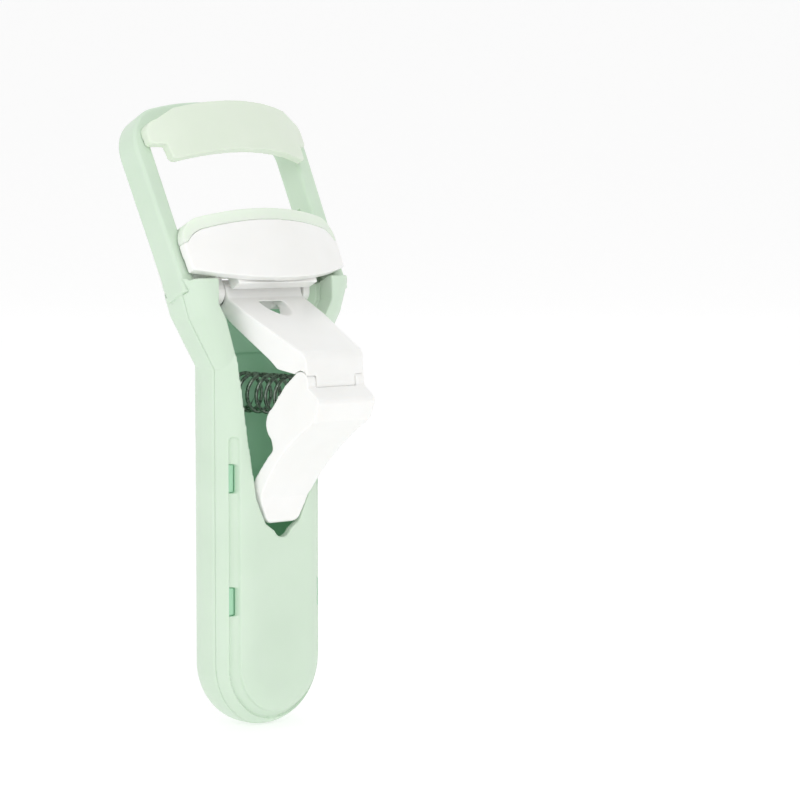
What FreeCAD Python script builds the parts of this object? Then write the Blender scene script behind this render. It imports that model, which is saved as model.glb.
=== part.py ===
import FreeCAD, Part
import os
import re

import Sketcher

# A hand-held eyelash curler. The hollow handle is two shells. The rear one carries the leaning head frame
# with the fixed upper jaw. Pressing the thumb lever straightens a two-link toggle, which slides the lower
# jaw up the two arms of the frame. A compression spring pushes the elbow of the toggle out again.
#
# Two frames are used. "Upright" pieces are drawn about the handle's own axis: x across, y rearward and
# z up from the handle's lower end. "Leaning" pieces are drawn in the head's frame: x across, y square to
# the arms, positive rearward, and z along the arms from the foot of the arms.

Vector = FreeCAD.Vector
doc = FreeCAD.newDocument("eyelash_curler")
sheet = doc.addObject("Spreadsheet::Sheet", "dims")

DIMENSIONS = {
    # placing
    "datum_z": 0.6,           # the drawing's zero height above the handle's lower end
    "axis_y": 2.7,           # handle axis behind the middle of the whole outline
    "head_y": 0.17,           # foot of the arms, from the handle axis
    "head_z": 70.3,
    "head_lean": 26.0,        # degrees
    # handle
    "wall": 1.4,
    "fit_gap": 0.03,
    "handle_half": 10.6,
    "handle_depth": 12.4,
    "handle_round": 5.6,
    "handle_top": 70.2,
    "parting_y": -1.8,
    "groove_in": 8.1,
    "groove_out": 9.4,
    "groove_top": 45.4,
    "groove_depth": 0.45,
    "window_x": 8.75,
    "window_wide": 1.3,
    "window_tall": 4.5,
    "window_low": 17.8,
    "window_high": 37.2,
    "finger_gap": 0.06,
    "finger_reach": 3.7,
    "finger_rear": 3.3,
    "thumb_groove_half": 1.85,
    "thumb_groove_low": 6.6,
    "thumb_groove_high": 42.0,
    "thumb_groove_deep": 0.95,
    "thumb_groove_shallow": 0.15,
    "rim_dip_radius": 21.0,
    "rim_dip_z": 66.0,
    # shoulders
    "flare_z": 56.5,
    "flare_mid_half": 15.7,
    "flare_mid_z": 64.6,
    "shoulder_half": 17.3,
    "shoulder_low": 69.4,
    "shoulder_z": 70.9,
    "shoulder_front": -4.9,
    "shoulder_rear": 5.0,
    "shoulder_round": 3.9,
    # lever opening in the front shell
    "open_low": 29.8,
    "open_tip_x": 1.7,
    "open_tip_z": 30.9,
    "open_toe_x": 3.6,
    "open_toe_z": 32.2,
    "open_waist_x": 5.5,
    "open_waist_z": 36.2,
    "open_mid_x": 7.0,
    "open_mid_z": 46.0,
    "open_top_x": 8.4,
    "open_top_z": 58.5,
    "open_flare_x": 10.4,
    "open_flare_z": 64.5,
    "open_rim_x": 11.9,
    "open_rim_z": 67.0,
    # inside the handle
    "post_in": 5.35,
    "post_thick": 1.5,
    "post_tall": 4.6,
    "post_front": -3.9,
    "spring_z": 52.4,
    "spring_radius": 3.3,
    "spring_wire": 0.32,
    "spring_turns": 7.0,
    "spring_front": -11.3,
    "spring_rear": 4.8,
    "spring_gap": 0.03,
    "seat_depth": 1.8,
    "seat_drop": 3.4,
    "seat_rise": 0.3,
    "ledge_z": 58.5,
    "ledge_tall": 6.0,
    "ledge_thick": 0.9,
    # head frame
    "arm_foot": -2.6,
    "arm_half_foot": 17.3,
    "arm_half_top": 17.9,
    "window_half_foot": 14.5,
    "window_half_top": 14.8,
    "arm_front": 2.3,
    "arm_rear": 2.5,
    "corner_z": 22.05,
    "corner_x": 12.2,
    "arch_shoulder_z": 29.25,
    "arch_z": 30.7,
    "arch_thick": 3.1,
    "arm_round": 0.6,
    "guide_deep": 0.8,
    "guide_wide": 1.4,
    "guide_y": 1.0,
    "guide_top": 12.7,
    # upper jaw
    "jaw_low": 19.1,
    "jaw_low_end": 18.6,
    "jaw_corner_x": 11.5,
    "jaw_corner_top": 27.2,
    "jaw_end_x": 14.5,
    "jaw_end_top": 25.8,
    "jaw_step": 22.0,
    "jaw_half": 13.7,
    "jaw_half_top": 16.3,
    "jaw_top": 27.7,
    "jaw_bulge": 4.5,
    "jaw_end_y": -3.85,
    "jaw_thick": 1.5,
    "roof_thick": 1.5,
    "peg_radius": 0.6,
    "peg_x": 15.5,
    "peg_z": 23.6,
    # sliding lower jaw
    "slide_low": 1.1,
    "slide_half": 13.9,
    "slide_rear": 1.9,
    "slide_end_top": 5.2,
    "slide_corner_x": 12.2,
    "slide_corner_top": 6.55,
    "slide_top": 7.25,
    "chin_half": 8.2,
    "chin_low": -2.7,
    "chin_front": -4.9,
    "slot_half": 8.3,
    "slot_z": 3.9,
    "slot_tall": 1.6,
    "slot_deep": 1.0,
    "lug_in": 12.9,
    "lug_out": 16.3,
    "lug_gap": 0.2,
    "lug_thick": 1.0,
    "lug_low": -0.8,
    "lug_top": 6.2,
    "tongue_gap": 0.15,
    "clevis_in": 8.3,
    "clevis_thick": 1.3,
    "clevis_radius": 2.1,
    # apron on the front of the lower jaw
    "apron_half": 16.05,
    "apron_end_y": -4.1,
    "apron_bulge": 3.1,
    "apron_thick": 1.5,
    "apron_low_end": 0.2,
    "apron_low": -2.8,
    "apron_shoulder_z": 4.8,
    "apron_peg_x": 11.4,
    "apron_peg_z": 3.6,
    "apron_peg_radius": 0.75,
    "apron_peg_tip": -5.0,
    # silicone pad
    "pad_top": 9.3,
    "pad_thick": 2.0,
    "pad_corner_x": 13.0,
    "pad_corner_top": 8.65,
    "pad_end_x": 15.3,
    "pad_end_top": 7.2,
    # toggle
    "lever_pin_y": -1.8,
    "lever_pin_z": 35.0,
    "elbow_y": -16.9,
    "elbow_z": 54.9,
    "yoke_y": 0.0,
    "yoke_z": 68.5,
    "yoke_q": 0.636,           # the same pin in the head's leaning frame
    "yoke_s": -1.692,
    "pin_radius": 0.8,
    "pin_slack": 0.05,
    "boss_radius": 2.0,
    "cheek_half": 6.0,
    "cheek_thick": 1.8,
    "lever_half_top": 6.0,
    "hub_half": 4.6,
    "elbow_radius": 1.75,
    "elbow_gap": 0.12,
    "pin_cover": 0.6,
    "link_half_top": 7.9,
    "link_half_low": 6.0,
    "link_flange": 1.1,
    "knuckle_half": 4.05,
    "slot_reach": 1.05,
    "slot_drift": 0.1,
    "slot_slack": 0.15,
    "hole_half": 2.5,
}

for row, (alias, value) in enumerate(DIMENSIONS.items(), start=1):
    sheet.set(f"A{row}", str(value))
    sheet.setAlias(f"A{row}", alias)
doc.recompute()


def formula(text):
    """A formula over the sheet's aliases, as FreeCAD reads it."""
    return re.sub(r"\b[a-z][a-z_]+\b(?!\()", r"dims.\g<0>", str(text))


def number(text):
    return float(sheet.evalExpression(formula(text)))


def bind(thing, **sizes):
    for name, text in sizes.items():
        thing.setExpression(name, formula(text))


def place(thing, leaning, x="0", y="0", z="0"):
    """Puts a thing drawn about the handle axis, or in the leaning head's frame, where it belongs."""
    if not leaning:
        thing.setExpression("Placement.Base.x", formula(x))
        thing.setExpression("Placement.Base.y", formula(f"axis_y + {y}"))
        thing.setExpression("Placement.Base.z", formula(f"datum_z + {z}"))
        return
    turn = FreeCAD.Rotation(Vector(-1, 0, 0), number("head_lean"))
    thing.Placement = FreeCAD.Placement(Vector(0, 0, 0), turn)
    across = f"({y}) * cos(head_lean * 1 deg) + ({z}) * sin(head_lean * 1 deg)"
    along = f"({z}) * cos(head_lean * 1 deg) - ({y}) * sin(head_lean * 1 deg)"
    thing.setExpression("Placement.Base.x", formula(x))
    thing.setExpression("Placement.Base.y", formula(f"axis_y + head_y + {across}").replace("dims.deg", "deg"))
    thing.setExpression("Placement.Base.z", formula(f"datum_z + head_z + {along}").replace("dims.deg", "deg"))
    thing.setExpression("Placement.Rotation.Angle", formula("head_lean"))


def outline(body, plane, points, shift):
    """A closed sketch through points (x, y). A third item in a point marks the middle of an arc."""
    sketch = body.newObject("Sketcher::SketchObject", body.Label + "_outline")
    support = [f for f in body.Origin.OriginFeatures if f.Role == plane + "_Plane"][0]
    sketch.AttachmentSupport = [(support, "")]
    sketch.MapMode = "FlatFace"
    sketch.setExpression("AttachmentOffset.Base.z", formula(shift))
    at = [Vector(number(p[0]), number(p[1]), 0) for p in points]
    corners = [i for i, p in enumerate(points) if len(p) == 2]
    ends = []

    def fix(geometry, position, point):
        for kind, text in (("DistanceX", point[0]), ("DistanceY", point[1])):
            constraint = Sketcher.Constraint(kind, -1, 1, geometry, position, number(text))
            index = sketch.addConstraint(constraint)
            sketch.setExpression(f"Constraints[{index}]", formula(text))

    for n, i in enumerate(corners):
        k = corners[(n + 1) % len(corners)]
        middle = (i + 1) % len(points)
        if middle == k:
            edge = sketch.addGeometry(Part.LineSegment(at[i], at[k]), False)
            start = 1
        else:
            edge = sketch.addGeometry(Part.Arc(at[i], at[middle], at[k]), False)
            start = 1 if sketch.getPoint(edge, 1).distanceToPoint(at[i]) < 1e-6 else 2
            mark = sketch.addGeometry(Part.Point(at[middle]), True)
            sketch.addConstraint(Sketcher.Constraint("PointOnObject", mark, 1, edge))
            fix(mark, 1, points[middle])
        ends.append((edge, start, 3 - start))
    for n, i in enumerate(corners):
        edge, start, _ = ends[n]
        before, _, finish = ends[n - 1]
        sketch.addConstraint(Sketcher.Constraint("Coincident", before, finish, edge, start))
        fix(edge, start, points[i])
    return sketch


def prism(label, plane, points, length, shift="0", leaning=False, round_radius=None, keep_square=None):
    """A body padded both ways from a plane, with the outline's edges rounded where a radius is given."""
    body = doc.addObject("PartDesign::Body", label)
    body.Label = label
    sketch = outline(body, plane, points, shift)
    pad = body.newObject("PartDesign::Pad", label + "_pad")
    pad.Profile = sketch
    pad.Midplane = True
    pad.setExpression("Length", formula(length))
    doc.recompute()
    if round_radius:
        fillet = body.newObject("PartDesign::Fillet", label + "_round")
        names = rim_edges(pad.Shape, plane, keep_square)
        fillet.Base = (pad, names)
        fillet.setExpression("Radius", formula(round_radius))
        body.Tip = fillet
        doc.recompute()
    place(body, leaning)
    doc.recompute()
    return body


def rim_edges(shape, plane, keep_square):
    """The edges that lie flat in the two end faces of a prism, apart from those keep_square picks."""
    axis = {"XZ": 1, "YZ": 0, "XY": 2}[plane]
    names = []
    for n, edge in enumerate(shape.Edges, start=1):
        box = edge.BoundBox
        spans = (box.XLength, box.YLength, box.ZLength)
        if spans[axis] < 1e-6 and not (keep_square and keep_square(box)):
            names.append(f"Edge{n}")
    return names


def block(label, x, y, z, leaning=False):
    """A box from three (low, high) pairs of formulas."""
    box = doc.addObject("Part::Box", label)
    bind(box, Length=f"({x[1]}) - ({x[0]})", Width=f"({y[1]}) - ({y[0]})", Height=f"({z[1]}) - ({z[0]})")
    place(box, leaning, f"({x[0]})", f"({y[0]})", f"({z[0]})")
    return box


def rod(label, radius, half, y, z, leaning=False, x="0"):
    """A cylinder lying along x, centred on x."""
    cylinder = doc.addObject("Part::Cylinder", label)
    bind(cylinder, Radius=radius, Height=f"2 * ({half})")
    place(cylinder, False)
    turn = FreeCAD.Rotation(Vector(0, 1, 0), 90)
    cylinder.Placement = FreeCAD.Placement(Vector(0, 0, 0), turn)
    if leaning:
        across = f"({y}) * cos(head_lean * 1 deg) + ({z}) * sin(head_lean * 1 deg) + head_y"
        along = f"({z}) * cos(head_lean * 1 deg) - ({y}) * sin(head_lean * 1 deg) + head_z"
    else:
        across, along = y, z
    cylinder.setExpression("Placement.Base.x", formula(f"({x}) - ({half})"))
    base_y = formula(f"axis_y + {across}").replace("dims.deg", "deg")
    cylinder.setExpression("Placement.Base.y", base_y)
    cylinder.setExpression("Placement.Base.z", formula(f"datum_z + {along}").replace("dims.deg", "deg"))
    return cylinder


def stud(label, radius, x, y, z, leaning=False):
    """A cylinder lying along y, between the two formulas in y."""
    cylinder = doc.addObject("Part::Cylinder", label)
    bind(cylinder, Radius=radius, Height=f"({y[1]}) - ({y[0]})")
    turn = FreeCAD.Rotation(Vector(-1, 0, 0), 90)
    if leaning:
        turn = FreeCAD.Rotation(Vector(-1, 0, 0), number("head_lean")).multiply(turn)
        across = f"({y[0]}) * cos(head_lean * 1 deg) + ({z}) * sin(head_lean * 1 deg) + head_y"
        along = f"({z}) * cos(head_lean * 1 deg) - ({y[0]}) * sin(head_lean * 1 deg) + head_z"
    else:
        across, along = y[0], z
    cylinder.Placement = FreeCAD.Placement(Vector(0, 0, 0), turn)
    cylinder.setExpression("Placement.Base.x", formula(x))
    base_y = formula(f"axis_y + {across}").replace("dims.deg", "deg")
    cylinder.setExpression("Placement.Base.y", base_y)
    cylinder.setExpression("Placement.Base.z", formula(f"datum_z + {along}").replace("dims.deg", "deg"))
    return cylinder


def joined(label, parts):
    fusion = doc.addObject("Part::MultiFuse", label)
    fusion.Shapes = parts
    fusion.Refine = True
    return fusion


def shared(label, parts):
    common = doc.addObject("Part::MultiCommon", label)
    common.Shapes = parts
    return common


def without(label, base, tools):
    cut = doc.addObject("Part::Cut", label)
    cut.Base = base
    cut.Tool = tools[0] if len(tools) == 1 else joined(label + "_tools", tools)
    return cut


def mirrored_points(points):
    """Closes a left-right symmetric outline: the given right half, then its mirror image back."""
    left = [(f"-({p[0]})", *p[1:]) for p in reversed(points)]
    return points + [p for p in left if number(p[0]) < -1e-9]


def slot_points(half, low, top):
    """A tall slot with a round lower end."""
    return [
        (half, top),
        (f"-({half})", top),
        (f"-({half})", f"{low} + {half}"),
        ("0", low, "arc"),
        (half, f"{low} + {half}"),
    ]


def capsule(label, offset, top):
    """The handle's rounded outer form, grown by offset."""
    half = f"(handle_half + {offset})"
    points = slot_points(half, f"(0 - datum_z - ({offset}))", top)
    top_value = number(top)
    return prism(
        label, "XZ", points, f"handle_depth + 2 * ({offset})",
        round_radius=f"handle_round + {offset}",
        keep_square=lambda box: abs(box.ZMin - top_value) < 1e-6 and box.ZLength < 1e-6,
    )


SIDES = ((-1, "left"), (1, "right"))


def signed(side, low, high):
    """A pair of formulas across x for the piece on one side, where low and high are for the right side."""
    return (low, high) if side > 0 else (f"-({high})", f"-({low})")


# ---------------------------------------------------------------- handle skin, before it is parted

def shoulder_outline():
    return [
        ("handle_half - 2.5", "flare_z - 6"),
        ("handle_half", "flare_z"),
        ("flare_mid_half", "flare_mid_z"),
        ("shoulder_half", "shoulder_low"),
        ("shoulder_half", "shoulder_z"),
    ]


def build_skin():
    outer = capsule("outer_capsule", "0", "handle_top")
    flare_outline = mirrored_points(shoulder_outline())
    top_value = number("shoulder_z")
    low_value = number("flare_z - 6")
    flare = prism(
        "flare", "XZ", flare_outline, "shoulder_rear - shoulder_front",
        shift="0 - (shoulder_rear + shoulder_front) / 2", round_radius="shoulder_round",
        keep_square=lambda box: box.ZLength < 1e-6 and (
            abs(box.ZMin - top_value) < 1e-6 or abs(box.ZMin - low_value) < 1e-6),
    )
    inner = capsule("inner_capsule", "0 - wall", "shoulder_z + 5")
    opening_points = mirrored_points([
        ("0", "open_low", "arc"),
        ("open_tip_x", "open_tip_z"),
        ("open_toe_x", "open_toe_z"),
        ("open_waist_x", "open_waist_z"),
        ("open_mid_x", "open_mid_z"),
        ("open_top_x", "open_top_z"),
        ("open_flare_x", "open_flare_z"),
        ("open_rim_x", "open_rim_z"),
        ("open_rim_x", "open_rim_z + 9"),
    ])
    opening = prism("lever_opening", "XZ", opening_points, "7", shift="4.5")
    groove_base = prism("groove_track", "XZ", groove_points(), "handle_depth + 4")
    groove_floor = capsule("groove_floor", "0 - groove_depth", "handle_top")
    groove = without("side_groove", groove_base, [groove_floor])
    windows = []
    for side, word in SIDES:
        for level in ("window_low", "window_high"):
            across = signed(side, "window_x - window_wide / 2", "window_x + window_wide / 2")
            tall = (level, f"{level} + window_tall")
            name = f"{level}_{word}"
            windows.append(block(name, across, ("0 - handle_depth", "handle_depth"), tall))
    dip = stud("rim_dip", "rim_dip_radius", "0", ("0", "handle_depth"), "rim_dip_z + rim_dip_radius")
    tools = [inner, opening, groove, dip, slide_way(), thumb_groove()] + windows
    return without("handle_skin", joined("handle_outer", [outer, flare]), tools)


def groove_points():
    tip = "groove_top + (groove_out - groove_in) / 2"
    middle = "(groove_out + groove_in) / 2"
    return [
        ("groove_out", "groove_top"),
        (middle, tip, "arc"),
        ("groove_in", "groove_top"),
        ("groove_in", "handle_half - datum_z"),
        ("0", "handle_half - datum_z - groove_in", "arc"),
        ("0 - groove_in", "handle_half - datum_z"),
        ("0 - groove_in", "groove_top"),
        (f"0 - {middle}", tip, "arc"),
        ("0 - groove_out", "groove_top"),
        ("0 - groove_out", "handle_half - datum_z"),
        ("0", "handle_half - datum_z - groove_out", "arc"),
        ("groove_out", "handle_half - datum_z"),
    ]


def slide_way():
    """The leaning space that the lower jaw needs where it dips between the shoulders."""
    rear = "arm_rear + lug_gap + lug_thick + 0.25"
    wide = block("slide_way_wide", ("0 - lug_out - 0.3", "lug_out + 0.3"), ("0 - 4", rear),
                 ("lug_low - 0.4", "12"), leaning=True)
    out = "clevis_in + clevis_thick + 0.3"
    narrow = block("slide_way_narrow", (f"0 - ({out})", out), ("0 - 3", "yoke_q + clevis_radius + 0.3"),
                   ("yoke_s - clevis_radius - 0.3", "0"), leaning=True)
    return joined("slide_way", [wide, narrow])


def thumb_groove():
    """A shallow slot down the middle of the back that gets deeper towards its lower end."""
    half = "thumb_groove_half"
    track = prism("thumb_track", "XZ", [
        (half, f"thumb_groove_high - {half}"),
        ("0", "thumb_groove_high", "arc"),
        (f"0 - {half}", f"thumb_groove_high - {half}"),
        (f"0 - {half}", f"thumb_groove_low + {half}"),
        ("0", "thumb_groove_low", "arc"),
        (half, f"thumb_groove_low + {half}"),
    ], "handle_depth + 4")
    ramp = prism("thumb_ramp", "YZ", [
        ("handle_depth / 2 + 2", "thumb_groove_low - 2"),
        ("handle_depth / 2 - thumb_groove_deep", "thumb_groove_low - 2"),
        ("handle_depth / 2 - thumb_groove_shallow", "thumb_groove_high"),
        ("handle_depth / 2 + 2", "thumb_groove_high"),
    ], "handle_half")
    return shared("thumb_groove", [track, ramp])


# ---------------------------------------------------------------- head frame

def frame_points():
    return mirrored_points([
        ("0", "arch_z - arch_thick", "arc"),
        ("corner_x - 0.8", "arch_shoulder_z - arch_thick"),
        ("window_half_top - 0.95", "corner_z + 2.55", "arc"),
        ("window_half_top", "corner_z - 0.2"),
        ("window_half_foot", "0"),
        ("window_half_foot", "arm_foot"),
        ("arm_half_foot", "arm_foot"),
        ("arm_half_foot", "0"),
        ("arm_half_top", "corner_z"),
        ("corner_x + 4.1", "corner_z + 4.6", "arc"),
        ("corner_x", "arch_shoulder_z"),
        ("0", "arch_z", "arc"),
    ])


def build_head_frame():
    foot = number("arm_foot")
    ring = prism("head_ring", "XZ", frame_points(), "arm_front + arm_rear",
                 shift="(arm_front - arm_rear) / 2", leaning=True, round_radius="arm_round",
                 keep_square=lambda box: box.ZMax < foot + 0.5)
    tracks = []
    for side, word in SIDES:
        across = signed(side, "window_half_foot - 1", "window_half_foot + guide_deep")
        deep = ("guide_y - guide_wide / 2", "guide_y + guide_wide / 2")
        tracks.append(block(f"guide_{word}", across, deep, ("arm_foot - 1", "guide_top"), leaning=True))
        tracks.append(stud(f"jaw_peg_hole_{word}", "peg_radius + 0.02", f"{side} * peg_x",
                           ("0 - 4", "1.2"), "peg_z", leaning=True))
    return without("head_frame", ring, tracks)


# ---------------------------------------------------------------- shells

def build_shells():
    skin = build_skin()
    frame = build_head_frame()
    rear_half = block("rear_space", ("0 - 30", "30"), ("parting_y", "30"), ("0 - 5", "90"))
    front_half = block("front_space", ("0 - 30", "30"), ("0 - 30", "parting_y - fit_gap"), ("0 - 5", "90"))
    rear_parts = [shared("rear_wall", [skin, rear_half]), frame]
    without("front_shell", shared("front_wall_whole", [skin, front_half]), [frame])
    back = "handle_depth / 2 - wall / 2"
    for side, word in SIDES:
        across = signed(side, "post_in", "post_in + post_thick")
        tall = ("lever_pin_z - post_tall / 2", "lever_pin_z + post_tall / 2")
        rear_parts.append(block(f"pin_post_{word}", across, ("post_front", back), tall))
        inner_side = "window_x - window_wide / 2 + finger_gap"
        outer_side = "window_x + window_wide / 2"
        for level in ("window_low", "window_high"):
            tall = (f"{level} + finger_gap", f"{level} + window_tall - finger_gap")
            finger = signed(side, inner_side, f"{outer_side} - finger_gap")
            rear_parts.append(block(f"finger_{level}_{word}", finger,
                                    ("0 - finger_reach", "parting_y + finger_gap"), tall))
            root = signed(side, inner_side, f"{outer_side} + 0.25")
            rear_parts.append(block(f"finger_root_{level}_{word}", root,
                                    ("parting_y + finger_gap", "finger_rear"), tall))
    rear_parts.append(stud("spring_boss", "spring_radius - 2 * spring_wire - 0.35", "0",
                           ("handle_depth / 2 - wall - seat_depth", back), "spring_z"))
    ledge_face = "handle_depth / 2 - wall - ledge_thick"
    rear_parts.append(block("ledge", ("0 - 7.4", "7.4"), (ledge_face, back),
                            ("ledge_z", "ledge_z + ledge_tall")))
    pin_hole = rod("lever_pin_hole", "pin_radius + 0.01", "handle_half - 2.5", "lever_pin_y", "lever_pin_z")
    without("rear_shell", joined("rear_shell_whole", rear_parts), [pin_hole])


# ---------------------------------------------------------------- upper jaw

def band_points(half, end_y, bulge, thick):
    """A curved band seen from above, bulging forward, of even thickness at its middle and its ends."""
    return [
        (half, end_y),
        ("0", f"{end_y} - {bulge}", "arc"),
        (f"-({half})", end_y),
        (f"-({half})", f"{end_y} + {thick}"),
        ("0", f"{end_y} - {bulge} + {thick}", "arc"),
        (half, f"{end_y} + {thick}"),
    ]


def jaw_top_points():
    """The upper jaw's top from its right-hand end to its middle."""
    return [
        ("jaw_half_top", "jaw_end_top - 1.8"),
        ("jaw_half_top - 0.5", "jaw_end_top - 0.55", "arc"),
        ("jaw_end_x", "jaw_end_top"),
        ("jaw_corner_x", "jaw_corner_top"),
        ("0", "jaw_top", "arc"),
    ]


def build_upper_jaw():
    band = prism("upper_band", "XY", band_points("jaw_half_top", "jaw_end_y", "jaw_bulge", "jaw_thick"),
                 "24", shift="jaw_low + 6", leaning=True)
    face = prism("upper_face", "XZ", mirrored_points([
        ("0", "jaw_low", "arc"),
        ("jaw_half - 0.8", "jaw_low_end"),
        ("jaw_half - 0.1", "jaw_low_end + 0.3", "arc"),
        ("jaw_half + 0.1", "jaw_low_end + 1.0"),
        ("jaw_half + 0.3", "jaw_step - 0.6"),
        ("jaw_half_top - 0.8", "jaw_step - 0.2"),
        ("jaw_half_top - 0.2", "jaw_step + 0.1", "arc"),
        ("jaw_half_top", "jaw_step + 0.8"),
    ] + jaw_top_points()), "30", leaning=True)
    skirt = shared("upper_skirt", [band, face])
    roof_plan = prism("roof_plan", "XY", [
        ("jaw_half_top", "0 - arm_front - 0.02"),
        ("jaw_half_top", "jaw_end_y + 0.5"),
        ("0", "jaw_end_y - jaw_bulge + 0.5", "arc"),
        ("0 - jaw_half_top", "jaw_end_y + 0.5"),
        ("0 - jaw_half_top", "0 - arm_front - 0.02"),
    ], "24", shift="jaw_low + 6", leaning=True)
    roof_face = prism("roof_face", "XZ", mirrored_points([
        ("0", "jaw_top - roof_thick", "arc"),
        ("jaw_corner_x", "jaw_corner_top - roof_thick"),
        ("jaw_end_x - 0.6", "jaw_end_top - roof_thick"),
        ("jaw_half_top - roof_thick", "jaw_step + 1.4"),
        ("jaw_half_top", "jaw_step + 1.4"),
    ] + jaw_top_points()), "30", leaning=True)
    parts = [skirt, shared("jaw_roof", [roof_plan, roof_face])]
    for side, word in SIDES:
        parts.append(stud(f"jaw_peg_{word}", "peg_radius", f"{side} * peg_x", ("jaw_end_y + 0.9", "1.0"),
                          "peg_z", leaning=True))
    joined("upper_jaw", parts)


# ---------------------------------------------------------------- lower jaw: slider, apron and pad

def lower_top(drop):
    """The arched top of the lower jaw from its middle to its rounded right-hand end, lowered by drop."""
    return [
        ("0", f"pad_top - {drop}", "arc"),
        (f"pad_corner_x - 0.4 * {drop}", f"pad_corner_top - {drop}"),
        (f"pad_end_x - 0.42 * {drop}", f"pad_end_top - 0.72 * {drop}", "arc"),
        (f"apron_half - 0.35 * {drop}", "apron_shoulder_z"),
    ]


def build_slider():
    plan = prism("slider_plan", "XY", [
        ("slide_half", "slide_rear"),
        ("0 - slide_half", "slide_rear"),
        ("0 - slide_half", "apron_end_y + apron_thick - 0.72"),
        ("0", "apron_end_y - apron_bulge + apron_thick + 0.03", "arc"),
        ("slide_half", "apron_end_y + apron_thick - 0.72"),
    ], "30", leaning=True)
    face = prism("slider_face", "XZ", mirrored_points([
        ("slide_half", "slide_low"),
        ("slide_half", "slide_end_top"),
        ("slide_corner_x", "slide_corner_top"),
        ("0", "slide_top", "arc"),
    ]), "30", leaning=True)
    chin = block("chin", ("0 - chin_half", "chin_half"), ("chin_front", "0 - arm_front - 0.3"),
                 ("chin_low", "slide_low + 0.5"), True)
    parts = [shared("slider_block", [plan, face]), chin]
    rear_face = "arm_rear + lug_gap"
    for side, word in SIDES:
        tongue = signed(side, "slide_half - 1", "window_half_foot + guide_deep - tongue_gap")
        tongue_deep = ("guide_y - guide_wide / 2 + tongue_gap", "guide_y + guide_wide / 2 - tongue_gap")
        parts.append(block(f"tongue_{word}", tongue, tongue_deep, ("slide_low", "slide_low + 1.5"), True))
        lug = lug_body(side, word, rear_face)
        parts.append(lug)
        cheek = signed(side, "clevis_in", "clevis_in + clevis_thick")
        parts.append(block(f"clevis_{word}", cheek,
                           ("yoke_q - clevis_radius", "yoke_q + clevis_radius"),
                           ("yoke_s", "slide_low + 1"), True))
        parts.append(rod(f"clevis_end_{word}", "clevis_radius", "clevis_thick / 2", "yoke_y", "yoke_z",
                         x=f"{side} * (clevis_in + clevis_thick / 2)"))
        parts.append(stud(f"apron_peg_{word}", "apron_peg_radius", f"{side} * apron_peg_x",
                          ("apron_peg_tip", "0 - 2"), "apron_peg_z", leaning=True))
    whole = joined("slider_whole", parts)
    slot = block("slider_slot", ("0 - slot_half", "slot_half"), ("slide_rear - slot_deep", "slide_rear + 1"),
                 ("slot_z", "slot_z + slot_tall"), True)
    hole = rod("yoke_hole", "pin_radius + 0.01", "clevis_in + clevis_thick - pin_cover", "yoke_y", "yoke_z")
    notch = block("chin_notch", ("0 - 4.2", "1.4"), ("chin_front - 1", "chin_front + 0.8"),
                  ("chin_low + 0.5", "chin_low + 1.4"), True)
    without("jaw_slider", whole, [slot, hole, notch])


def lug_body(side, word, rear_face):
    """The shoe's rear lip, which runs behind the arm and is bridged to the block beside it."""
    lip = signed(side, "lug_in", "lug_out")
    points = [
        (lip[0], "lug_low + 0.8"),
        (lip[0], "lug_top - 0.8"),
        (f"{lip[0]} + 0.25", "lug_top - 0.2", "arc"),
        (f"{lip[0]} + 0.8", "lug_top"),
        (f"{lip[1]} - 0.8", "lug_top"),
        (f"{lip[1]} - 0.25", "lug_top - 0.2", "arc"),
        (lip[1], "lug_top - 0.8"),
        (lip[1], "lug_low + 0.8"),
        (f"{lip[1]} - 0.25", "lug_low + 0.2", "arc"),
        (f"{lip[1]} - 0.8", "lug_low"),
        (f"{lip[0]} + 0.8", "lug_low"),
        (f"{lip[0]} + 0.25", "lug_low + 0.2", "arc"),
    ]
    centre = f"0 - ({rear_face} + lug_thick / 2)"
    plate = prism(f"lug_plate_{word}", "XZ", points, "lug_thick", shift=centre, leaning=True)
    bridge_across = signed(side, "lug_in", "slide_half")
    bridge = block(f"lug_bridge_{word}", bridge_across, ("slide_rear - 0.5", f"{rear_face} + 0.3"),
                   ("slide_low", "lug_top - 0.9"), True)
    return joined(f"lug_{word}", [plate, bridge])


def build_apron():
    band = prism("apron_band", "XY", band_points("apron_half", "apron_end_y", "apron_bulge", "apron_thick"),
                 "40", leaning=True)
    face = prism("apron_face", "XZ", mirrored_points(
        lower_top("(pad_thick + 0.03)") + [
            ("apron_half", "apron_shoulder_z - 0.03"),
            ("apron_half - 0.2", "apron_low_end"),
            ("0", "apron_low", "arc"),
        ]), "30", leaning=True)
    holes = []
    for side, word in SIDES:
        holes.append(stud(f"apron_hole_{word}", "apron_peg_radius + 0.02", f"{side} * apron_peg_x",
                          ("apron_peg_tip - 0.05", "0"), "apron_peg_z", leaning=True))
    without("jaw_apron", shared("apron_plate", [band, face]), holes)


def build_pad():
    plan = prism("pad_plan", "XY", [
        ("apron_half", "apron_end_y"),
        ("0", "apron_end_y - apron_bulge", "arc"),
        ("0 - apron_half", "apron_end_y"),
        ("0 - apron_half", "0 - arm_front - 0.3"),
        ("0 - window_half_foot + 0.3", "0 - arm_front - 0.3"),
        ("0 - window_half_foot + 0.3", "slide_rear"),
        ("window_half_foot - 0.3", "slide_rear"),
        ("window_half_foot - 0.3", "0 - arm_front - 0.3"),
        ("apron_half", "0 - arm_front - 0.3"),
    ], "40", leaning=True)
    inner = list(reversed(lower_top("pad_thick")))
    face = prism("pad_face", "XZ", mirrored_points(lower_top("0") + inner), "30", leaning=True)
    shared("lash_pad", [plan, face])


# ---------------------------------------------------------------- toggle: lever, link and pins

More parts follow.
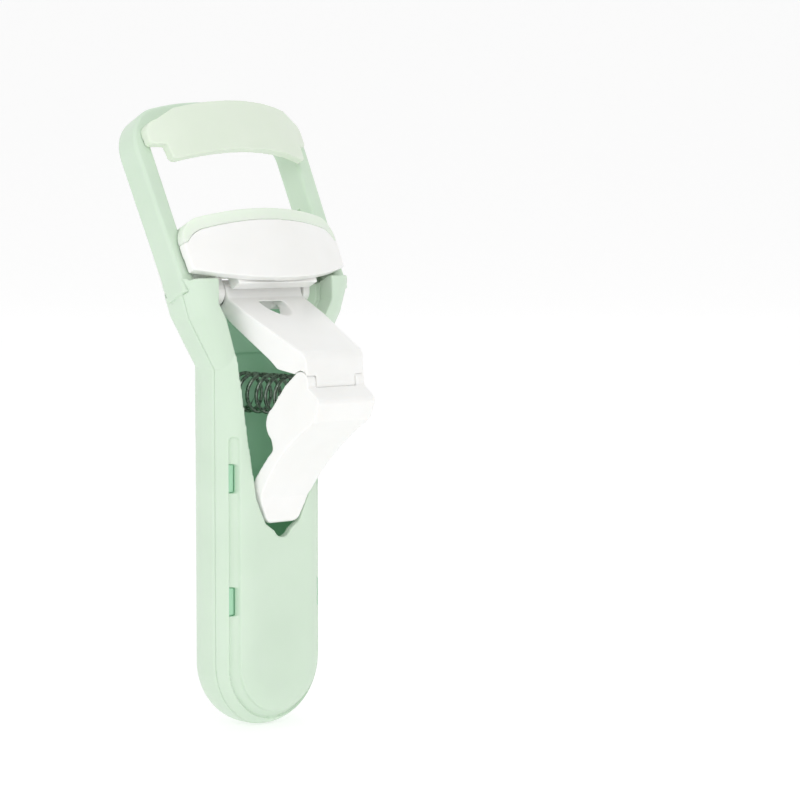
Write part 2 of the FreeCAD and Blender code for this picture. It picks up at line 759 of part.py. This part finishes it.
def build_lever():
    wall_outline = [
        ("elbow_y - 1.2", "elbow_z - 0.2"),
        ("elbow_y - 3.6", "elbow_z - 2.0"),
        ("elbow_y - 4.1", "elbow_z - 2.6", "arc"),
        ("elbow_y - 4.1", "elbow_z - 3.4"),
        ("elbow_y - 3.0", "elbow_z - 6.0"),
        ("elbow_y + 4.4", "elbow_z - 11.4", "arc"),
        ("lever_pin_y - 4.8", "lever_pin_z + 1.3"),
        ("lever_pin_y - 4.4", "lever_pin_z - 2.2"),
        ("lever_pin_y - 3.7", "lever_pin_z - 2.9", "arc"),
        ("lever_pin_y - 3.0", "lever_pin_z - 2.2"),
        ("lever_pin_y - 2.4", "lever_pin_z + 2.6"),
        ("elbow_y + 5.5", "elbow_z - 9.9", "arc"),
        ("elbow_y - 0.6", "elbow_z - 5.2"),
        ("elbow_y + 1.0", "elbow_z - 1.4"),
    ]
    wall = prism("lever_wall_whole", "YZ", wall_outline, "2 * lever_half_top")
    trim = prism("lever_trim", "XZ", mirrored_points([
        ("open_toe_x - 1.7", "lever_pin_z - 3.0"),
        ("open_toe_x - 0.4", "lever_pin_z - 2.4", "arc"),
        ("open_toe_x + 0.2", "lever_pin_z - 1.4"),
        ("open_waist_x - 0.9", "lever_pin_z + 0.2"),
        ("open_waist_x - 0.2", "lever_pin_z + 2.2"),
        ("lever_half_top", "open_mid_z - 2"),
        ("lever_half_top", "elbow_z + 6"),
    ]), "60")
    cheek_outline = [
        ("elbow_y - 3.0", "elbow_z - 2.4"),
        ("elbow_y - 1.4", "elbow_z - 0.9"),
        ("elbow_y + 0.9", "elbow_z + 1.5"),
        ("elbow_y + 3.6", "elbow_z - 0.6"),
        ("elbow_y + 6.6", "elbow_z - 4.2"),
        ("elbow_y + 8.0", "elbow_z - 6.9", "arc"),
        ("elbow_y + 6.9", "elbow_z - 9.0"),
        ("elbow_y + 6.5", "elbow_z - 11.0", "arc"),
        ("elbow_y + 7.8", "elbow_z - 13.2"),
        ("lever_pin_y - 3.6", "lever_pin_z + 3.2"),
        ("elbow_y + 4.9", "elbow_z - 10.6", "arc"),
        ("elbow_y - 2.2", "elbow_z - 5.4"),
    ]
    root_outline = [
        ("elbow_y + 5.4", "elbow_z - 9.6"),
        ("elbow_y + 6.8", "elbow_z - 9.6"),
        ("elbow_y + 6.5", "elbow_z - 11.0", "arc"),
        ("elbow_y + 7.8", "elbow_z - 13.2"),
        ("elbow_y + 11.2", "elbow_z - 16.4"),
        ("lever_pin_y + 1.2", "lever_pin_z + 1.6"),
        ("lever_pin_y + 2", "lever_pin_z", "arc"),
        ("lever_pin_y", "lever_pin_z - 2"),
        ("lever_pin_y - 3.4", "lever_pin_z - 1.4"),
        ("lever_pin_y - 4.0", "lever_pin_z + 1.5"),
    ]
    parts = [wall]
    for side, word in SIDES:
        middle = f"{side} * (cheek_half - cheek_thick / 2)"
        parts.append(prism(f"lever_cheek_{word}", "YZ", cheek_outline, "cheek_thick", shift=middle))
        parts.append(rod(f"lever_knuckle_{word}", "elbow_radius", "cheek_thick / 2", "elbow_y", "elbow_z",
                         x=middle))
        root = f"{side} * (hub_half - cheek_thick / 2)"
        parts.append(prism(f"lever_root_{word}", "YZ", root_outline, "cheek_thick", shift=root))
    seat_back = "spring_front - 1.1"
    parts.append(block("spring_seat", ("0 - cheek_half + 0.3", "cheek_half - 0.3"),
                       (seat_back, "spring_front"), ("spring_z - seat_drop", "spring_z + seat_rise")))
    parts.append(stud("seat_boss", "pin_radius", "0", ("spring_front - 0.5", "spring_front + 0.9"),
                      "spring_z"))
    trimmed = shared("lever_trimmed", [joined("lever_body", parts), trim])
    hub = rod("lever_hub", "boss_radius", "hub_half", "lever_pin_y", "lever_pin_z")
    tools = [
        rod("lever_bore", "pin_radius + pin_slack", "cheek_half + 1", "lever_pin_y", "lever_pin_z"),
        rod("elbow_hole", "pin_radius + 0.01", "cheek_half - pin_cover", "elbow_y", "elbow_z"),
        rod("knuckle_space", "elbow_radius + elbow_gap", "knuckle_half + elbow_gap", "elbow_y", "elbow_z"),
    ]
    without("thumb_lever", joined("lever_whole", [trimmed, hub]), tools)


def build_link():
    outer = [
        ("elbow_y - 1.7", "elbow_z + 0.3"),
        ("elbow_y - 1.35", "elbow_z + 3.5"),
        ("elbow_y - 0.9", "elbow_z + 4.5", "arc"),
        ("elbow_y + 0.1", "elbow_z + 5.2"),
        ("yoke_y - 1.2", "yoke_z - 0.3"),
    ]
    plate = prism("link_plate_whole", "YZ", outer + [
        ("yoke_y - 0.6", "yoke_z - 1.6"),
        ("elbow_y + 0.9", "elbow_z + 4.1"),
        ("elbow_y + 0.2", "elbow_z + 3.5", "arc"),
        ("elbow_y + 0.0", "elbow_z + 0.6"),
    ], "2 * link_half_top")
    plan = mirrored_points([
        ("link_half_low", "elbow_z - 3"),
        ("link_half_low", "elbow_z + 3.2"),
        ("link_half_top", "yoke_z - 3.4"),
        ("link_half_top", "yoke_z + 4"),
    ])
    trim = prism("link_trim", "XZ", plan, "60")
    core = prism("link_core", "XZ", mirrored_points([
        ("link_half_low - link_flange", "elbow_z - 4"),
        ("link_half_low - link_flange", "elbow_z + 3.2"),
        ("link_half_top - link_flange", "yoke_z - 3.4"),
        ("link_half_top - link_flange", "yoke_z + 5"),
    ]), "70")
    ribs = prism("link_ribs", "YZ", outer + [
        ("yoke_y + 0.4", "yoke_z - 2.4"),
        ("yoke_y - 2.5", "yoke_z - 4.9"),
        ("elbow_y + 5.3", "elbow_z + 1.9"),
        ("elbow_y + 1.4", "elbow_z + 1.3"),
    ], "2 * link_half_top")
    flanges = without("link_flanges", shared("link_ribs_trimmed", [ribs, trim]), [core])
    knuckle = rod("knuckle", "elbow_radius", "knuckle_half", "elbow_y", "elbow_z")
    tongue = prism("knuckle_web", "YZ", [
        ("elbow_y - 1.7", "elbow_z + 0.3"),
        ("elbow_y - 1.4", "elbow_z + 3.0"),
        ("elbow_y + 0.6", "elbow_z + 3.6"),
        ("elbow_y + 1.65", "elbow_z + 0.4"),
    ], "2 * knuckle_half")
    eyes = []
    slots = []
    for step, word in ((0, "upper"), (1, "lower")):
        y = f"yoke_y - {step} * slot_drift"
        z = f"yoke_z - {step} * slot_reach"
        eyes.append(rod(f"eye_{word}", "boss_radius - 0.1", "link_half_top", y, z))
        slots.append(rod(f"eye_slot_{word}", "pin_radius + slot_slack", "link_half_top + 1", y, z))
    slots.append(prism("eye_slot_middle", "YZ", [
        ("yoke_y - pin_radius - slot_slack", "yoke_z"),
        ("yoke_y + pin_radius + slot_slack", "yoke_z"),
        ("yoke_y - slot_drift + pin_radius + slot_slack", "yoke_z - slot_reach"),
        ("yoke_y - slot_drift - pin_radius - slot_slack", "yoke_z - slot_reach"),
    ], "2 * link_half_top + 2"))
    web = prism("eye_web", "YZ", [
        ("yoke_y - 1.9", "yoke_z"),
        ("yoke_y + 1.9", "yoke_z"),
        ("yoke_y + 1.8", "yoke_z - 1.1"),
        ("yoke_y - 1.0", "yoke_z - 2.9"),
        ("yoke_y - 2.6", "yoke_z - 1.4"),
    ], "2 * link_half_top")
    whole = joined("link_whole", [shared("link_plate_trimmed", [plate, trim]), flanges, knuckle, tongue,
                                  web] + eyes)
    hole = prism("link_hole", "XZ", [
        ("hole_half", "yoke_z - 1.5"),
        ("hole_half", "yoke_z - 2.2"),
        ("0", "yoke_z - 3.6", "arc"),
        ("0 - hole_half", "yoke_z - 2.2"),
        ("0 - hole_half", "yoke_z - 1.5"),
    ], "7", shift="4.6")
    tools = [hole, rod("knuckle_bore", "pin_radius + pin_slack", "knuckle_half + 1", "elbow_y", "elbow_z")]
    for side, word in SIDES:
        middle = f"{side} * (knuckle_half + elbow_gap + cheek_thick / 2)"
        tools.append(rod(f"cheek_space_{word}", "elbow_radius + elbow_gap",
                         "cheek_thick / 2 + elbow_gap", "elbow_y", "elbow_z", x=middle))
    without("toggle_link", whole, tools + slots)


def build_pins():
    rod("lever_pin", "pin_radius", "post_in + post_thick", "lever_pin_y", "lever_pin_z")
    rod("elbow_pin", "pin_radius", "cheek_half - pin_cover", "elbow_y", "elbow_z")
    rod("yoke_pin", "pin_radius", "clevis_in + clevis_thick - pin_cover", "yoke_y", "yoke_z")


def build_spring():
    """A round-wire compression spring lying front to back, between the lever's seat and the back wall."""
    body = doc.addObject("PartDesign::Body", "return_spring")
    section = body.newObject("Sketcher::SketchObject", "spring_section")
    support = [f for f in body.Origin.OriginFeatures if f.Role == "XZ_Plane"][0]
    section.AttachmentSupport = [(support, "")]
    section.MapMode = "FlatFace"
    mean = "spring_radius - spring_wire"
    wire = section.addGeometry(Part.Circle(Vector(number(mean), 0, 0), Vector(0, 0, 1), number("spring_wire")))
    section.addConstraint(Sketcher.Constraint("PointOnObject", wire, 3, -1))
    section.addConstraint(Sketcher.Constraint("DistanceX", -1, 1, wire, 3, number(mean)))
    section.addConstraint(Sketcher.Constraint("Radius", wire, number("spring_wire")))
    section.setExpression("Constraints[1]", formula(mean))
    section.setExpression("Constraints[2]", formula("spring_wire"))
    coil = body.newObject("PartDesign::AdditiveHelix", "spring_coil")
    coil.Profile = section
    coil.ReferenceAxis = (section, ["V_Axis"])
    coil.Mode = "height-turns-angle"
    bind(coil, Turns="spring_turns", Height="spring_rear - spring_front - 2 * (spring_wire + spring_gap)")
    body.Placement.Rotation = FreeCAD.Rotation(Vector(1, 0, 0), -90)
    bind(body, **{
        "Placement.Base.y": "axis_y + spring_front + spring_wire + spring_gap",
        "Placement.Base.z": "datum_z + spring_z",
    })


NODES = ("rear_shell", "front_shell", "upper_jaw", "jaw_slider", "jaw_apron", "lash_pad", "thumb_lever",
         "toggle_link", "lever_pin", "elbow_pin", "yoke_pin", "return_spring")

build_shells()
build_upper_jaw()
build_slider()
build_apron()
build_pad()
build_lever()
build_link()
build_pins()
build_spring()
doc.recompute()

os.makedirs("parts", exist_ok=True)
for thing in doc.Objects:
    if "Invalid" in thing.State or "Error" in thing.State:
        raise RuntimeError(f"{thing.Label} failed: {thing.State}")
for name in NODES:
    shape = doc.getObject(name).Shape
    if shape.isNull() or not shape.isValid():
        raise RuntimeError(f"{name} is not a valid solid")
    shape.exportStep(f"parts/{name}.step")
    print(name, "solids", len(shape.Solids), "volume", round(shape.Volume, 2), shape.BoundBox)
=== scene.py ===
"""An eyelash curler, standing on a pale floor in soft studio light, seen from its front left.

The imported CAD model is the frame. Each moulded piece is its CAD solid, re-surfaced with soft moulded edges,
and the coil spring is wound here. Lengths are in metres.
"""

import math

import bmesh
import bpy
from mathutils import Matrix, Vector


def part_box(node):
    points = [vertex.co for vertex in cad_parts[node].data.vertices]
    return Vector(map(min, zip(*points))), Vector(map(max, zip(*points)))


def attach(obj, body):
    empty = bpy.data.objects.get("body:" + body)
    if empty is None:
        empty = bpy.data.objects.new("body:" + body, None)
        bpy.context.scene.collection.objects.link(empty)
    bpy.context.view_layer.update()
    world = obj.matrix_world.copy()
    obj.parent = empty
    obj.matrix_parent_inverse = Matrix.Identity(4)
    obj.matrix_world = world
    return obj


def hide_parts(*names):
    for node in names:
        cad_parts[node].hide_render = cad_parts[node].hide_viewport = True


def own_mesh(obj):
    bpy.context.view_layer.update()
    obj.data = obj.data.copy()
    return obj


MM = 0.001

# The handle's section, measured from its own axis. Its hollow has round corners, whose centres are at
# FLAT_HALF_X and FLAT_HALF_Y.
HANDLE_HALF_DEPTH = 6.2 * MM
WALL = 1.4 * MM
FLAT_HALF_X = 5.0 * MM
FLAT_HALF_Y = 0.6 * MM
HOLLOW_RADIUS = 4.4 * MM
LOWER_END_Z = 10.6 * MM
RIM_Z = 66.0 * MM

# The snap windows, in pairs beside the handle's axis.
WINDOW_X = 8.75 * MM
WINDOW_HALF_WIDTH = 0.68 * MM
WINDOW_HALF_HEIGHT = 2.3 * MM
WINDOW_HALF_DEPTH = 3.9 * MM
WINDOW_LEVELS = (20.65 * MM, 40.05 * MM)

# How finely a moulded piece is re-surfaced.
SHELL_VOXEL = 0.16 * MM
FINE_VOXEL = 0.12 * MM

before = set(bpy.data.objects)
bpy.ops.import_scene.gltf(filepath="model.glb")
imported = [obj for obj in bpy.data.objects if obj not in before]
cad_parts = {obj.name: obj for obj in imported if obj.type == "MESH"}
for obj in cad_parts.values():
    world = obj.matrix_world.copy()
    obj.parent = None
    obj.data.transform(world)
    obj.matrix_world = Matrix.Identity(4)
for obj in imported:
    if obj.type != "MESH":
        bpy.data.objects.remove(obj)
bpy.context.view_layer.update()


# ------------------------------------------------------------------ mesh helpers

def copy_of(node, name):
    """A new object with its own copy of a CAD node's mesh."""
    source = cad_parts[node]
    piece = bpy.data.objects.new(name, source.data.copy())
    piece.data.materials.clear()
    bpy.context.scene.collection.objects.link(piece)
    return piece


def apply_modifiers(piece):
    """Bakes a piece's modifiers into its mesh."""
    graph = bpy.context.evaluated_depsgraph_get()
    mesh = bpy.data.meshes.new_from_object(piece.evaluated_get(graph))
    piece.modifiers.clear()
    piece.data = mesh


def shade_smooth(piece):
    piece.data.polygons.foreach_set("use_smooth", [True] * len(piece.data.polygons))
    piece.data.update()


def moulded(node, name, body, material, voxel=FINE_VOXEL, rounding=4):
    """The CAD node's solid with its edges softened, as a moulding comes out of its tool."""
    piece = copy_of(node, name)
    remesh = piece.modifiers.new("skin", "REMESH")
    remesh.mode = "VOXEL"
    remesh.voxel_size = voxel
    remesh.use_smooth_shade = True
    smooth = piece.modifiers.new("soft_edges", "SMOOTH")
    smooth.factor = 0.5
    smooth.iterations = rounding
    apply_modifiers(piece)
    shade_smooth(piece)
    piece.data.materials.append(material)
    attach(piece, body)
    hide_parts(node)
    return piece


# ------------------------------------------------------------------ materials

def linear(red, green, blue):
    """A colour given as sRGB bytes, in the linear values that a shader takes."""
    def channel(value):
        value /= 255
        return value / 12.92 if value <= 0.04045 else ((value + 0.055) / 1.055) ** 2.4
    return (channel(red), channel(green), channel(blue), 1.0)


def new_material(name):
    material = bpy.data.materials.new(name)
    material.use_nodes = True
    nodes = material.node_tree.nodes
    return material, nodes, material.node_tree.links, nodes["Principled BSDF"]


def shader_of(material):
    return material.node_tree.nodes["Principled BSDF"]


def let_light_in(material, weight, radius, scale):
    """Light scatters a short way under the surface. The radius is per colour, as a share of the scale."""
    shader = shader_of(material)
    shader.inputs["Subsurface Weight"].default_value = weight
    shader.inputs["Subsurface Radius"].default_value = radius
    shader.inputs["Subsurface Scale"].default_value = scale


def noise(nodes, links, scale, detail=3.0):
    """Noise over the object's own coordinates. The scale is in features per metre."""
    place = nodes.new("ShaderNodeTexCoord")
    texture = nodes.new("ShaderNodeTexNoise")
    texture.inputs["Scale"].default_value = scale
    texture.inputs["Detail"].default_value = detail
    links.new(place.outputs["Object"], texture.inputs["Vector"])
    return texture


def ramp(nodes, links, source, stops):
    """A colour ramp from a list of (place, colour)."""
    node = nodes.new("ShaderNodeValToRGB")
    node.color_ramp.elements[0].position = stops[0][0]
    node.color_ramp.elements[0].color = stops[0][1]
    node.color_ramp.elements[1].position = stops[-1][0]
    node.color_ramp.elements[1].color = stops[-1][1]
    for place, colour in stops[1:-1]:
        node.color_ramp.elements.new(place).color = colour
    links.new(source, node.inputs["Fac"])
    return node


def moulded_plastic(name, low, high, roughness, depth):
    """Injection-moulded plastic: a faint flow mottle in the colour and a fine satin grain."""
    material, nodes, links, shader = new_material(name)
    mottle = noise(nodes, links, 90.0)
    colour = ramp(nodes, links, mottle.outputs["Fac"], [(0.3, low), (0.7, high)])
    links.new(colour.outputs["Color"], shader.inputs["Base Color"])
    sheen = noise(nodes, links, 700.0)
    gloss = ramp(nodes, links, sheen.outputs["Fac"],
                 [(0.3, (roughness - 0.04,) * 3 + (1,)), (0.7, (roughness + 0.05,) * 3 + (1,))])
    links.new(gloss.outputs["Color"], shader.inputs["Roughness"])
    grain = noise(nodes, links, 5200.0, 2.0)
    bump = nodes.new("ShaderNodeBump")
    bump.inputs["Strength"].default_value = depth
    bump.inputs["Distance"].default_value = 0.02 * MM
    links.new(grain.outputs["Fac"], bump.inputs["Height"])
    links.new(bump.outputs["Normal"], shader.inputs["Normal"])
    shader.inputs["IOR"].default_value = 1.5
    return material


def mint_plastic(name, low, high):
    material = moulded_plastic(name, low, high, 0.36, 0.25)
    let_light_in(material, 0.15, (0.8, 1.0, 0.7), 0.6 * MM)
    return material


def painted_hollow_shade():
    """The hollow inside the handle in painted shade, a deeper and darker mint than the body's. A faint glow
    is painted light, standing for the light that crosses its thin wall.
    """
    material = mint_plastic("painted_shade_mint_plastic", linear(168, 212, 182), linear(176, 218, 189))
    shader = shader_of(material)
    # Painted light: the inner walls glow faintly.
    shader.inputs["Emission Color"].default_value = linear(150, 205, 168)
    shader.inputs["Emission Strength"].default_value = 0.07
    return material


def white_plastic():
    material = moulded_plastic("white_plastic", linear(245, 245, 242), linear(250, 250, 248), 0.33, 0.2)
    let_light_in(material, 0.15, (1.0, 0.9, 0.8), 0.5 * MM)
    return material


def silicone():
    material = moulded_plastic("pad_silicone", linear(228, 240, 224), linear(234, 244, 230), 0.52, 0.5)
    let_light_in(material, 0.4, (1.0, 1.2, 0.9), 1.0 * MM)
    return material


def steel(name, dark, light, roughness):
    """Drawn or turned steel with fine streaks in its colour and finish."""
    material, nodes, links, shader = new_material(name)
    streaks = noise(nodes, links, 1500.0, 4.0)
    colour = ramp(nodes, links, streaks.outputs["Fac"], [(0.35, dark), (0.65, light)])
    links.new(colour.outputs["Color"], shader.inputs["Base Color"])
    shader.inputs["Metallic"].default_value = 1.0
    finish = ramp(nodes, links, streaks.outputs["Fac"],
                  [(0.3, (roughness - 0.06,) * 3 + (1,)), (0.7, (roughness + 0.08,) * 3 + (1,))])
    links.new(finish.outputs["Color"], shader.inputs["Roughness"])
    bump = nodes.new("ShaderNodeBump")
    bump.inputs["Strength"].default_value = 0.15
    bump.inputs["Distance"].default_value = 0.01 * MM
    links.new(streaks.outputs["Fac"], bump.inputs["Height"])
    links.new(bump.outputs["Normal"], shader.inputs["Normal"])
    return material


def matt(name, colour):
    material, nodes, links, shader = new_material(name)
    shader.inputs["Base Color"].default_value = colour
    shader.inputs["Roughness"].default_value = 0.9
    return material


# ------------------------------------------------------------------ pieces

def handle_axis_y():
    """The handle's axis, from the back wall that the spring rests on."""
    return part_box("return_spring")[1].y + WALL - HANDLE_HALF_DEPTH


def in_hollow(place, from_axis):
    """Whether a point lies on the handle's inner wall, which is a rounded slot with a round lower end."""
    reach = math.hypot(place.x, min(place.z - LOWER_END_Z, 0))
    across = max(reach - FLAT_HALF_X, 0)
    deep = max(from_axis - FLAT_HALF_Y, 0)
    return math.hypot(across, deep) < HOLLOW_RADIUS and place.z < RIM_Z


def in_window(place, from_axis):
    """Whether a point lies on what fills a snap window, below the outer skin."""
    beside = abs(abs(place.x) - WINDOW_X) < WINDOW_HALF_WIDTH and from_axis < WINDOW_HALF_DEPTH
    return beside and any(abs(place.z - level) < WINDOW_HALF_HEIGHT for level in WINDOW_LEVELS)


def paint_hollow_shade(shell, material):
    """Paints shade onto the hollow's walls and onto what fills the snap windows. Their faces take the darker
    mint, standing in for the deeper colour that light crossing the plastic many times gives there.
    """
    shell.data.materials.append(material)
    middle_y = handle_axis_y()
    for face in shell.data.polygons:
        from_axis = abs(face.center.y - middle_y)
        if in_hollow(face.center, from_axis) or in_window(face.center, from_axis):
            # Painted shade: these faces take the darker hollow mint.
            face.material_index = 1


def make_moulded_pieces():
    mint = mint_plastic("mint_plastic", linear(207, 226, 206), linear(212, 230, 211))
    # Painted shade for the hollow and the snap windows.
    hollow_shade_mint = painted_hollow_shade()
    # Painted light: a paler copy of the same mint, standing in for the brighter light that falls on the upper
    # jaw.
    lit_jaw_mint = mint_plastic("painted_light_mint_plastic", linear(222, 233, 216), linear(227, 237, 221))
    white = white_plastic()
    pad_skin = silicone()
    for node, name in (("rear_shell", "rear_handle_shell"), ("front_shell", "front_handle_shell")):
        shell = moulded(node, name, "handle", mint, voxel=SHELL_VOXEL, rounding=3)
        # Paints shade into the hollow and the snap windows.
        paint_hollow_shade(shell, hollow_shade_mint)
    # The upper jaw's paler mint is painted light.
    moulded("upper_jaw", "fixed_upper_jaw", "handle", lit_jaw_mint)
    moulded("jaw_slider", "sliding_jaw_block", "jaw", white)
    moulded("jaw_apron", "lower_jaw_apron", "jaw", white, rounding=8)
    moulded("lash_pad", "silicone_lash_pad", "jaw", pad_skin, rounding=8)
    moulded("thumb_lever", "white_thumb_lever", "lever", white, rounding=14)
    moulded("toggle_link", "white_toggle_link", "link", white, rounding=14)


def finish_pins():
    turned = steel("pin_steel", linear(150, 152, 150), linear(196, 198, 196), 0.3)
    for pin in ("lever_pin", "elbow_pin", "yoke_pin"):
        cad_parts[pin].data.materials.clear()
        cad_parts[pin].data.materials.append(turned)


def make_spring():
    """A round-wire compression spring of even pitch, lying along Y."""
    low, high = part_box("return_spring")
    wire = 0.32 * MM
    radius = (high.x - low.x) / 2 - wire
    middle_z = (low.z + high.z) / 2
    length = high.y - low.y - 2 * wire
    turns, sides, steps = 7.0, 12, 44
    count = int(turns * steps)
    mesh = bmesh.new()
    rings = []
    for i in range(count + 1):
        share = i / count
        angle = 2 * math.pi * turns * share
        centre = Vector((radius * math.cos(angle), low.y + wire + length * share,
                         middle_z + radius * math.sin(angle)))
        outward = Vector((math.cos(angle), 0, math.sin(angle)))
        along = Vector((-math.sin(angle) * radius, length / (2 * math.pi * turns), math.cos(angle) * radius))
        side = along.normalized().cross(outward)
        ring = []
        for k in range(sides):
            turn = 2 * math.pi * k / sides
            ring.append(mesh.verts.new(centre + wire * (math.cos(turn) * outward + math.sin(turn) * side)))
        rings.append(ring)
    for a, b in zip(rings, rings[1:]):
        for k in range(sides):
            mesh.faces.new((a[k], a[(k + 1) % sides], b[(k + 1) % sides], b[k]))
    mesh.faces.new(rings[0])
    mesh.faces.new(list(reversed(rings[-1])))
    bmesh.ops.recalc_face_normals(mesh, faces=mesh.faces)
    data = bpy.data.meshes.new("coil_spring")
    mesh.to_mesh(data)
    mesh.free()
    spring = bpy.data.objects.new("coil_spring", data)
    bpy.context.scene.collection.objects.link(spring)
    shade_smooth(spring)
    data.materials.append(steel("spring_wire", linear(96, 108, 98), linear(150, 164, 152), 0.28))
    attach(spring, "handle")
    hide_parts("return_spring")
    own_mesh(spring)


make_moulded_pieces()
finish_pins()
make_spring()


# ------------------------------------------------------------------ studio

def make_floor():
    """A pale sweep: a floor that curves up into a backdrop behind the object."""
    mesh = bmesh.new()
    half, reach, bend = 4.0, 1.6, 0.9
    profile = [(-3.0, 0.0), (reach, 0.0)]
    for i in range(1, 25):
        angle = math.pi / 2 * i / 24
        profile.append((reach + bend * math.sin(angle), bend * (1 - math.cos(angle))))
    profile.append((reach + bend, 4.0))
    rows = [[mesh.verts.new((x, y, z)) for x in (-half, half)] for y, z in profile]
    for a, b in zip(rows, rows[1:]):
        mesh.faces.new((a[0], a[1], b[1], b[0]))
    data = bpy.data.meshes.new("studio_sweep")
    mesh.to_mesh(data)
    mesh.free()
    floor = bpy.data.objects.new("studio_sweep", data)
    floor.rotation_euler = (0, 0, math.radians(-44))
    bpy.context.scene.collection.objects.link(floor)
    shade_smooth(floor)
    sweep = matt("studio_white", (0.5, 0.5, 0.5, 1))
    shader = sweep.node_tree.nodes["Principled BSDF"]
    shader.inputs["Emission Color"].default_value = (1, 1, 1, 1)
    shader.inputs["Emission Strength"].default_value = 0.58
    data.materials.append(sweep)


def add_light(name, place, target, size, power):
    data = bpy.data.lights.new(name, "AREA")
    data.shape = "DISK"
    data.size = size
    data.energy = power
    light = bpy.data.objects.new(name, data)
    light.location = place
    light.rotation_euler = (Vector(target) - Vector(place)).to_track_quat("-Z", "Y").to_euler()
    bpy.context.scene.collection.objects.link(light)


def make_studio():
    make_floor()
    middle = (0, 0, 0.055)
    add_light("key_light", (-0.55, -0.9, 0.55), middle, 0.7, 3.5)
    add_light("fill_light", (-0.95, 0.25, 0.45), middle, 0.9, 1.5)
    add_light("top_light", (0.1, 0.1, 1.1), middle, 0.9, 1.2)
    world = bpy.data.worlds.new("studio_world")
    world.use_nodes = True
    background = world.node_tree.nodes["Background"]
    background.inputs["Color"].default_value = (1.0, 1.0, 1.0, 1)
    background.inputs["Strength"].default_value = 0.62
    bpy.context.scene.world = world
    bpy.context.scene.view_settings.view_transform = "Standard"


def make_camera():
    """A long lens held at the jaws' height, in front and to the left of the object."""
    axis_y = handle_axis_y()
    azimuth, distance, height = math.radians(-41.25), 0.450, 0.0826
    pan, pitch = math.radians(-41.25 - 2.90), math.radians(3.92)
    data = bpy.data.cameras.new("camera")
    data.lens = 127.3
    data.sensor_width = 36.0
    camera = bpy.data.objects.new("camera", data)
    camera.location = (distance * math.sin(azimuth), axis_y - distance * math.cos(azimuth), height)
    forward = Vector((-math.sin(pan) * math.cos(pitch), math.cos(pan) * math.cos(pitch), -math.sin(pitch)))
    camera.rotation_euler = forward.to_track_quat("-Z", "Y").to_euler()
    data.clip_start = 0.01
    bpy.context.scene.collection.objects.link(camera)
    bpy.context.scene.camera = camera


make_studio()
make_camera()
